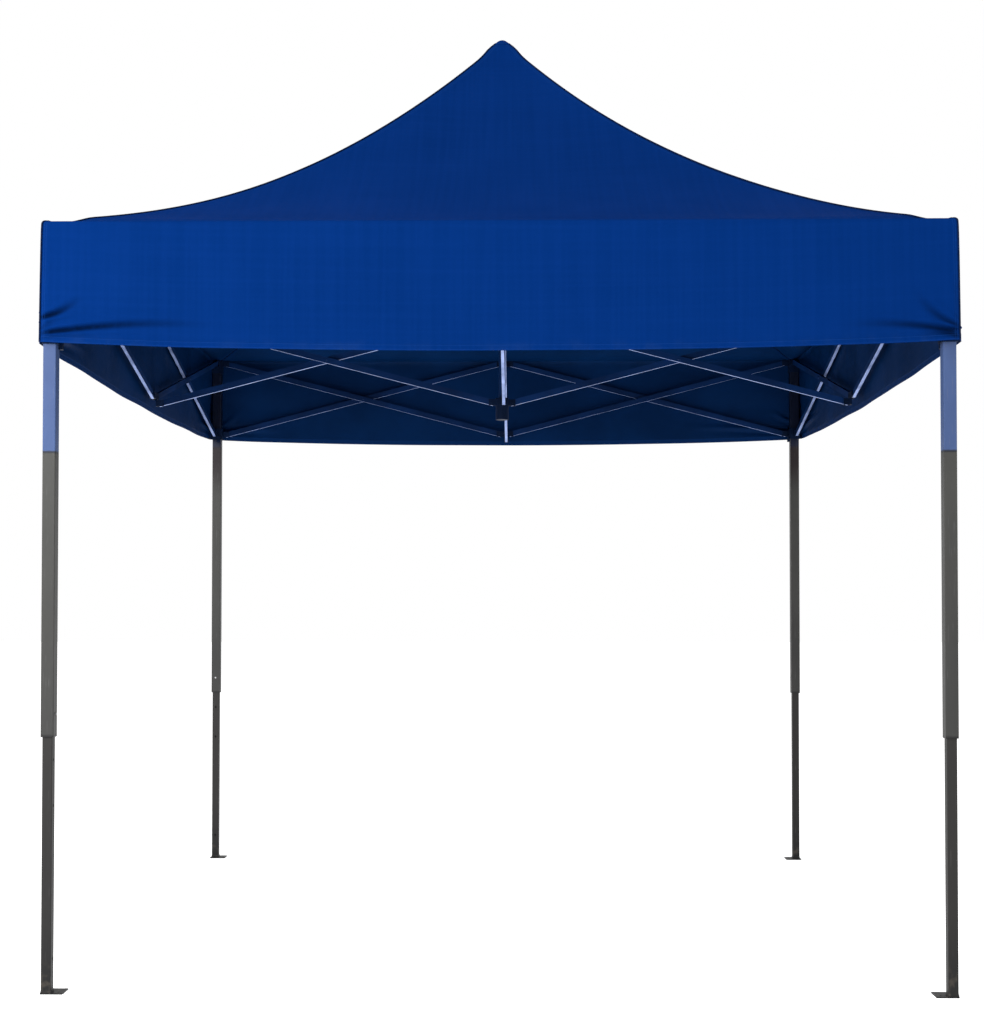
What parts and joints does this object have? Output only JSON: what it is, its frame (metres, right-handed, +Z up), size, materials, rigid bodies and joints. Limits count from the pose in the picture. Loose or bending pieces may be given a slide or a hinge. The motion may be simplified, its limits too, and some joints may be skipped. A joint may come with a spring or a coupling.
{
  "type": "pop up gazebo",
  "caption": "Square folding shelter: a scissor-truss frame with telescopic legs and foot plates under a concave hipped cloth canopy with a deep valance.",
  "frame": {"origin": "on the ground, midway between the four legs", "axes": "+Z up; the front faces -Y; +X to the right when seen from the front"},
  "size_m": [3.0102, 3.0102, 3.6591],
  "materials": {
    "canopy_cloth": "coated woven polyester, matt with a soft sheen",
    "truss_paint": "dark powder coat",
    "connector_plastic": "moulded nylon",
    "upper_leg_paint": "satin grey powder coat",
    "lower_leg_paint": "dark grey powder coat",
    "button_metal": "plated steel"
  },
  "bodies": {
    "hub_upper": {"hub_upper": "connector_plastic", "canopy_valance": "canopy_cloth"},
    "cross_falling_front": {"cross_falling_bar_front": "truss_paint"},
    "cross_falling_right": {"cross_falling_bar_right": "truss_paint"},
    "cross_falling_back": {"cross_falling_bar_back": "truss_paint"},
    "cross_falling_left": {"cross_falling_bar_left": "truss_paint"},
    "cross_rising_front": {"cross_rising_bar_front": "truss_paint"},
    "middle_lower_front": {"middle_lower_front": "connector_plastic"},
    "middle_upper_front": {"middle_upper_front": "connector_plastic"},
    "cross_rising_right": {"cross_rising_bar_right": "truss_paint"},
    "middle_lower_right": {"middle_lower_right": "connector_plastic"},
    "middle_upper_right": {"middle_upper_right": "connector_plastic"},
    "cross_rising_back": {"cross_rising_bar_back": "truss_paint"},
    "middle_lower_back": {"middle_lower_back": "connector_plastic"},
    "middle_upper_back": {"middle_upper_back": "connector_plastic"},
    "cross_rising_left": {"cross_rising_bar_left": "truss_paint"},
    "middle_lower_left": {"middle_lower_left": "connector_plastic"},
    "middle_upper_left": {"middle_upper_left": "connector_plastic"},
    "hub_lower": {"hub_lower": "connector_plastic", "centre_pole": "truss_paint"},
    "falling_front_fl": {"falling_bar_front_fl": "truss_paint"},
    "rising_front_fl": {"rising_bar_front_fl": "truss_paint"},
    "falling_front_fr": {"falling_bar_front_fr": "truss_paint"},
    "rising_front_fr": {"rising_bar_front_fr": "truss_paint"},
    "falling_right_fr": {"falling_bar_right_fr": "truss_paint"},
    "rising_right_fr": {"rising_bar_right_fr": "truss_paint"},
    "falling_right_br": {"falling_bar_right_br": "truss_paint"},
    "rising_right_br": {"rising_bar_right_br": "truss_paint"},
    "falling_back_br": {"falling_bar_back_br": "truss_paint"},
    "rising_back_br": {"rising_bar_back_br": "truss_paint"},
    "falling_back_bl": {"falling_bar_back_bl": "truss_paint"},
    "rising_back_bl": {"rising_bar_back_bl": "truss_paint"},
    "falling_left_bl": {"falling_bar_left_bl": "truss_paint"},
    "rising_left_bl": {"rising_bar_left_bl": "truss_paint"},
    "falling_left_fl": {"falling_bar_left_fl": "truss_paint"},
    "rising_left_fl": {"rising_bar_left_fl": "truss_paint"},
    "leg_fl": {"upper_leg_fl": "upper_leg_paint", "leg_bracket_fl": "connector_plastic"},
    "slider_fl": {"slider_fl": "connector_plastic"},
    "leg_fr": {"upper_leg_fr": "upper_leg_paint", "leg_bracket_fr": "connector_plastic"},
    "slider_fr": {"slider_fr": "connector_plastic"},
    "leg_br": {"upper_leg_br": "upper_leg_paint", "leg_bracket_br": "connector_plastic"},
    "slider_br": {"slider_br": "connector_plastic"},
    "leg_bl": {"upper_leg_bl": "upper_leg_paint", "leg_bracket_bl": "connector_plastic"},
    "slider_bl": {"slider_bl": "connector_plastic"},
    "roof_front": {"canopy_roof_front": "canopy_cloth"},
    "roof_right": {"canopy_roof_right": "canopy_cloth"},
    "roof_back": {"canopy_roof_back": "canopy_cloth"},
    "roof_left": {"canopy_roof_left": "canopy_cloth"},
    "lower_leg_fl": {"lower_leg_fl": "lower_leg_paint"},
    "button_fl": {"snap_button_fl": "button_metal"},
    "lower_leg_fr": {"lower_leg_fr": "lower_leg_paint"},
    "button_fr": {"snap_button_fr": "button_metal"},
    "lower_leg_br": {"lower_leg_br": "lower_leg_paint"},
    "button_br": {"snap_button_br": "button_metal"},
    "lower_leg_bl": {"lower_leg_bl": "lower_leg_paint"},
    "button_bl": {"snap_button_bl": "button_metal"}
  },
  "joints": [
    {"name": "truss_fold", "type": "hinge", "parent": "hub_upper", "child": "cross_falling_front", "pos_m": [0, -0.045, 2.488], "axis": [1, 0, 0], "range_deg": [0, 73], "deforming": ["canopy_roof_front", "canopy_roof_right", "canopy_roof_back", "canopy_roof_left", "canopy_valance"]},
    {"name": "cross_fold_right", "type": "hinge", "parent": "hub_upper", "child": "cross_falling_right", "pos_m": [0.045, 0, 2.488], "axis": [0, 1, 0], "range_deg": [-1, 74]},
    {"name": "cross_fold_back", "type": "hinge", "parent": "hub_upper", "child": "cross_falling_back", "pos_m": [0, 0.045, 2.488], "axis": [-1, 0, 0], "range_deg": [-1, 74]},
    {"name": "cross_fold_left", "type": "hinge", "parent": "hub_upper", "child": "cross_falling_left", "pos_m": [-0.045, 0, 2.488], "axis": [0, -1, 0], "range_deg": [-1, 74]},
    {"name": "cross_scissor_front", "type": "hinge", "parent": "cross_falling_front", "child": "cross_rising_front", "pos_m": [0, -0.742, 2.308], "axis": [1, 0, 0], "range_deg": [-147, 1]},
    {"name": "middle_lower_pivot_front", "type": "hinge", "parent": "cross_falling_front", "child": "middle_lower_front", "pos_m": [0, -1.439, 2.128], "axis": [1, 0, 0], "range_deg": [-74, 1]},
    {"name": "middle_upper_pivot_front", "type": "hinge", "parent": "cross_rising_front", "child": "middle_upper_front", "pos_m": [0, -1.439, 2.488], "axis": [1, 0, 0], "range_deg": [-1, 74]},
    {"name": "cross_scissor_right", "type": "hinge", "parent": "cross_falling_right", "child": "cross_rising_right", "pos_m": [0.742, 0, 2.308], "axis": [0, 1, 0], "range_deg": [-147, 1]},
    {"name": "middle_lower_pivot_right", "type": "hinge", "parent": "cross_falling_right", "child": "middle_lower_right", "pos_m": [1.439, 0, 2.128], "axis": [0, 1, 0], "range_deg": [-74, 1]},
    {"name": "middle_upper_pivot_right", "type": "hinge", "parent": "cross_rising_right", "child": "middle_upper_right", "pos_m": [1.439, 0, 2.488], "axis": [0, 1, 0], "range_deg": [-1, 74]},
    {"name": "cross_scissor_back", "type": "hinge", "parent": "cross_falling_back", "child": "cross_rising_back", "pos_m": [0, 0.742, 2.308], "axis": [-1, 0, 0], "range_deg": [-147, 1]},
    {"name": "middle_lower_pivot_back", "type": "hinge", "parent": "cross_falling_back", "child": "middle_lower_back", "pos_m": [0, 1.439, 2.128], "axis": [-1, 0, 0], "range_deg": [-74, 1]},
    {"name": "middle_upper_pivot_back", "type": "hinge", "parent": "cross_rising_back", "child": "middle_upper_back", "pos_m": [0, 1.439, 2.488], "axis": [-1, 0, 0], "range_deg": [-1, 74]},
    {"name": "cross_scissor_left", "type": "hinge", "parent": "cross_falling_left", "child": "cross_rising_left", "pos_m": [-0.742, 0, 2.308], "axis": [0, -1, 0], "range_deg": [-147, 1]},
    {"name": "middle_lower_pivot_left", "type": "hinge", "parent": "cross_falling_left", "child": "middle_lower_left", "pos_m": [-1.439, 0, 2.128], "axis": [0, -1, 0], "range_deg": [-74, 1]},
    {"name": "middle_upper_pivot_left", "type": "hinge", "parent": "cross_rising_left", "child": "middle_upper_left", "pos_m": [-1.439, 0, 2.488], "axis": [0, -1, 0], "range_deg": [-1, 74]},
    {"name": "hub_lower_pivot", "type": "hinge", "parent": "cross_rising_front", "child": "hub_lower", "pos_m": [0, -0.045, 2.128], "axis": [1, 0, 0], "range_deg": [-1, 74]},
    {"name": "falling_pivot_front_fl", "type": "hinge", "parent": "middle_lower_front", "child": "falling_front_fl", "pos_m": [-0.031, -1.475, 2.158], "axis": [0, 1, 0], "range_deg": [-1, 74]},
    {"name": "rising_pivot_front_fl", "type": "hinge", "parent": "middle_upper_front", "child": "rising_front_fl", "pos_m": [-0.031, -1.475, 2.518], "axis": [0, 1, 0], "range_deg": [-74, 1]},
    {"name": "falling_pivot_front_fr", "type": "hinge", "parent": "middle_lower_front", "child": "falling_front_fr", "pos_m": [0.031, -1.475, 2.158], "axis": [0, 1, 0], "range_deg": [-74, 1]},
    {"name": "rising_pivot_front_fr", "type": "hinge", "parent": "middle_upper_front", "child": "rising_front_fr", "pos_m": [0.031, -1.475, 2.518], "axis": [0, 1, 0], "range_deg": [-1, 74]},
    {"name": "falling_pivot_right_fr", "type": "hinge", "parent": "middle_lower_right", "child": "falling_right_fr", "pos_m": [1.475, -0.031, 2.158], "axis": [-1, 0, 0], "range_deg": [-1, 74]},
    {"name": "rising_pivot_right_fr", "type": "hinge", "parent": "middle_upper_right", "child": "rising_right_fr", "pos_m": [1.475, -0.031, 2.518], "axis": [-1, 0, 0], "range_deg": [-74, 1]},
    {"name": "falling_pivot_right_br", "type": "hinge", "parent": "middle_lower_right", "child": "falling_right_br", "pos_m": [1.475, 0.031, 2.158], "axis": [-1, 0, 0], "range_deg": [-74, 1]},
    {"name": "rising_pivot_right_br", "type": "hinge", "parent": "middle_upper_right", "child": "rising_right_br", "pos_m": [1.475, 0.031, 2.518], "axis": [-1, 0, 0], "range_deg": [-1, 74]},
    {"name": "falling_pivot_back_br", "type": "hinge", "parent": "middle_lower_back", "child": "falling_back_br", "pos_m": [0.031, 1.475, 2.158], "axis": [0, -1, 0], "range_deg": [-1, 74]},
    {"name": "rising_pivot_back_br", "type": "hinge", "parent": "middle_upper_back", "child": "rising_back_br", "pos_m": [0.031, 1.475, 2.518], "axis": [0, -1, 0], "range_deg": [-74, 1]},
    {"name": "falling_pivot_back_bl", "type": "hinge", "parent": "middle_lower_back", "child": "falling_back_bl", "pos_m": [-0.031, 1.475, 2.158], "axis": [0, -1, 0], "range_deg": [-74, 1]},
    {"name": "rising_pivot_back_bl", "type": "hinge", "parent": "middle_upper_back", "child": "rising_back_bl", "pos_m": [-0.031, 1.475, 2.518], "axis": [0, -1, 0], "range_deg": [-1, 74]},
    {"name": "falling_pivot_left_bl", "type": "hinge", "parent": "middle_lower_left", "child": "falling_left_bl", "pos_m": [-1.475, 0.031, 2.158], "axis": [1, 0, 0], "range_deg": [-1, 74]},
    {"name": "rising_pivot_left_bl", "type": "hinge", "parent": "middle_upper_left", "child": "rising_left_bl", "pos_m": [-1.475, 0.031, 2.518], "axis": [1, 0, 0], "range_deg": [-74, 1]},
    {"name": "falling_pivot_left_fl", "type": "hinge", "parent": "middle_lower_left", "child": "falling_left_fl", "pos_m": [-1.475, -0.031, 2.158], "axis": [1, 0, 0], "range_deg": [-74, 1]},
    {"name": "rising_pivot_left_fl", "type": "hinge", "parent": "middle_upper_left", "child": "rising_left_fl", "pos_m": [-1.475, -0.031, 2.518], "axis": [1, 0, 0], "range_deg": [-1, 74]},
    {"name": "leg_pivot_fl", "type": "hinge", "parent": "falling_front_fl", "child": "leg_fl", "pos_m": [-1.425, -1.475, 2.518], "axis": [0, 1, 0], "range_deg": [-74, 1]},
    {"name": "slider_pivot_fl", "type": "hinge", "parent": "rising_front_fl", "child": "slider_fl", "pos_m": [-1.425, -1.475, 2.158], "axis": [0, 1, 0], "range_deg": [-1, 74]},
    {"name": "leg_pivot_fr", "type": "hinge", "parent": "falling_front_fr", "child": "leg_fr", "pos_m": [1.425, -1.475, 2.518], "axis": [0, 1, 0], "range_deg": [-1, 74]},
    {"name": "slider_pivot_fr", "type": "hinge", "parent": "rising_front_fr", "child": "slider_fr", "pos_m": [1.425, -1.475, 2.158], "axis": [0, 1, 0], "range_deg": [-74, 1]},
    {"name": "leg_pivot_br", "type": "hinge", "parent": "falling_back_br", "child": "leg_br", "pos_m": [1.425, 1.475, 2.518], "axis": [0, -1, 0], "range_deg": [-74, 1]},
    {"name": "slider_pivot_br", "type": "hinge", "parent": "rising_back_br", "child": "slider_br", "pos_m": [1.425, 1.475, 2.158], "axis": [0, -1, 0], "range_deg": [-1, 74]},
    {"name": "leg_pivot_bl", "type": "hinge", "parent": "falling_back_bl", "child": "leg_bl", "pos_m": [-1.425, 1.475, 2.518], "axis": [0, -1, 0], "range_deg": [-1, 74]},
    {"name": "slider_pivot_bl", "type": "hinge", "parent": "rising_back_bl", "child": "slider_bl", "pos_m": [-1.425, 1.475, 2.158], "axis": [0, -1, 0], "range_deg": [-74, 1]},
    {"name": "roof_fold_front", "type": "hinge", "parent": "middle_upper_front", "child": "roof_front", "pos_m": [0, -1.4865, 2.537], "axis": [1, 0, 0], "range_deg": [-125.1, 1]},
    {"name": "roof_fold_right", "type": "hinge", "parent": "middle_upper_right", "child": "roof_right", "pos_m": [1.4865, 0, 2.537], "axis": [0, 1, 0], "range_deg": [-125.1, 1]},
    {"name": "roof_fold_back", "type": "hinge", "parent": "middle_upper_back", "child": "roof_back", "pos_m": [0, 1.4865, 2.537], "axis": [-1, 0, 0], "range_deg": [-125.1, 1]},
    {"name": "roof_fold_left", "type": "hinge", "parent": "middle_upper_left", "child": "roof_left", "pos_m": [-1.4865, 0, 2.537], "axis": [0, -1, 0], "range_deg": [-125.1, 1]},
    {"name": "leg_height_fl", "type": "slide", "parent": "leg_fl", "child": "lower_leg_fl", "axis": [0, 0, 1], "range_m": [0, 0.8]},
    {"name": "button_press_fl", "type": "slide", "parent": "leg_fl", "child": "button_fl", "axis": [-1, 0, 0], "range_m": [0, 0.004], "stiffness_N_per_m": 800},
    {"name": "leg_height_fr", "type": "slide", "parent": "leg_fr", "child": "lower_leg_fr", "axis": [0, 0, 1], "range_m": [0, 0.8]},
    {"name": "button_press_fr", "type": "slide", "parent": "leg_fr", "child": "button_fr", "axis": [0, -1, 0], "range_m": [0, 0.004], "stiffness_N_per_m": 800},
    {"name": "leg_height_br", "type": "slide", "parent": "leg_br", "child": "lower_leg_br", "axis": [0, 0, 1], "range_m": [0, 0.8]},
    {"name": "button_press_br", "type": "slide", "parent": "leg_br", "child": "button_br", "axis": [1, 0, 0], "range_m": [0, 0.004], "stiffness_N_per_m": 800},
    {"name": "leg_height_bl", "type": "slide", "parent": "leg_bl", "child": "lower_leg_bl", "axis": [0, 0, 1], "range_m": [0, 0.8]},
    {"name": "button_press_bl", "type": "slide", "parent": "leg_bl", "child": "button_bl", "axis": [0, 1, 0], "range_m": [0, 0.004], "stiffness_N_per_m": 800}
  ],
  "couplings": [
    {"joint": "cross_fold_right", "follows": "truss_fold", "ratio": 1},
    {"joint": "cross_fold_back", "follows": "truss_fold", "ratio": 1},
    {"joint": "cross_fold_left", "follows": "truss_fold", "ratio": 1},
    {"joint": "cross_scissor_front", "follows": "truss_fold", "ratio": -2},
    {"joint": "middle_lower_pivot_front", "follows": "truss_fold", "ratio": -1},
    {"joint": "middle_upper_pivot_front", "follows": "truss_fold", "ratio": 1},
    {"joint": "cross_scissor_right", "follows": "truss_fold", "ratio": -2},
    {"joint": "middle_lower_pivot_right", "follows": "truss_fold", "ratio": -1},
    {"joint": "middle_upper_pivot_right", "follows": "truss_fold", "ratio": 1},
    {"joint": "cross_scissor_back", "follows": "truss_fold", "ratio": -2},
    {"joint": "middle_lower_pivot_back", "follows": "truss_fold", "ratio": -1},
    {"joint": "middle_upper_pivot_back", "follows": "truss_fold", "ratio": 1},
    {"joint": "cross_scissor_left", "follows": "truss_fold", "ratio": -2},
    {"joint": "middle_lower_pivot_left", "follows": "truss_fold", "ratio": -1},
    {"joint": "middle_upper_pivot_left", "follows": "truss_fold", "ratio": 1},
    {"joint": "hub_lower_pivot", "follows": "truss_fold", "ratio": 1},
    {"joint": "falling_pivot_front_fl", "follows": "truss_fold", "ratio": 1},
    {"joint": "rising_pivot_front_fl", "follows": "truss_fold", "ratio": -1},
    {"joint": "falling_pivot_front_fr", "follows": "truss_fold", "ratio": -1},
    {"joint": "rising_pivot_front_fr", "follows": "truss_fold", "ratio": 1},
    {"joint": "falling_pivot_right_fr", "follows": "truss_fold", "ratio": 1},
    {"joint": "rising_pivot_right_fr", "follows": "truss_fold", "ratio": -1},
    {"joint": "falling_pivot_right_br", "follows": "truss_fold", "ratio": -1},
    {"joint": "rising_pivot_right_br", "follows": "truss_fold", "ratio": 1},
    {"joint": "falling_pivot_back_br", "follows": "truss_fold", "ratio": 1},
    {"joint": "rising_pivot_back_br", "follows": "truss_fold", "ratio": -1},
    {"joint": "falling_pivot_back_bl", "follows": "truss_fold", "ratio": -1},
    {"joint": "rising_pivot_back_bl", "follows": "truss_fold", "ratio": 1},
    {"joint": "falling_pivot_left_bl", "follows": "truss_fold", "ratio": 1},
    {"joint": "rising_pivot_left_bl", "follows": "truss_fold", "ratio": -1},
    {"joint": "falling_pivot_left_fl", "follows": "truss_fold", "ratio": -1},
    {"joint": "rising_pivot_left_fl", "follows": "truss_fold", "ratio": 1},
    {"joint": "leg_pivot_fl", "follows": "truss_fold", "ratio": -1},
    {"joint": "slider_pivot_fl", "follows": "truss_fold", "ratio": 1},
    {"joint": "leg_pivot_fr", "follows": "truss_fold", "ratio": 1},
    {"joint": "slider_pivot_fr", "follows": "truss_fold", "ratio": -1},
    {"joint": "leg_pivot_br", "follows": "truss_fold", "ratio": -1},
    {"joint": "slider_pivot_br", "follows": "truss_fold", "ratio": 1},
    {"joint": "leg_pivot_bl", "follows": "truss_fold", "ratio": 1},
    {"joint": "slider_pivot_bl", "follows": "truss_fold", "ratio": -1},
    {"joint": "roof_fold_front", "follows": "truss_fold", "ratio": -1.7},
    {"joint": "roof_fold_right", "follows": "truss_fold", "ratio": -1.7},
    {"joint": "roof_fold_back", "follows": "truss_fold", "ratio": -1.7},
    {"joint": "roof_fold_left", "follows": "truss_fold", "ratio": -1.7}
  ]
}
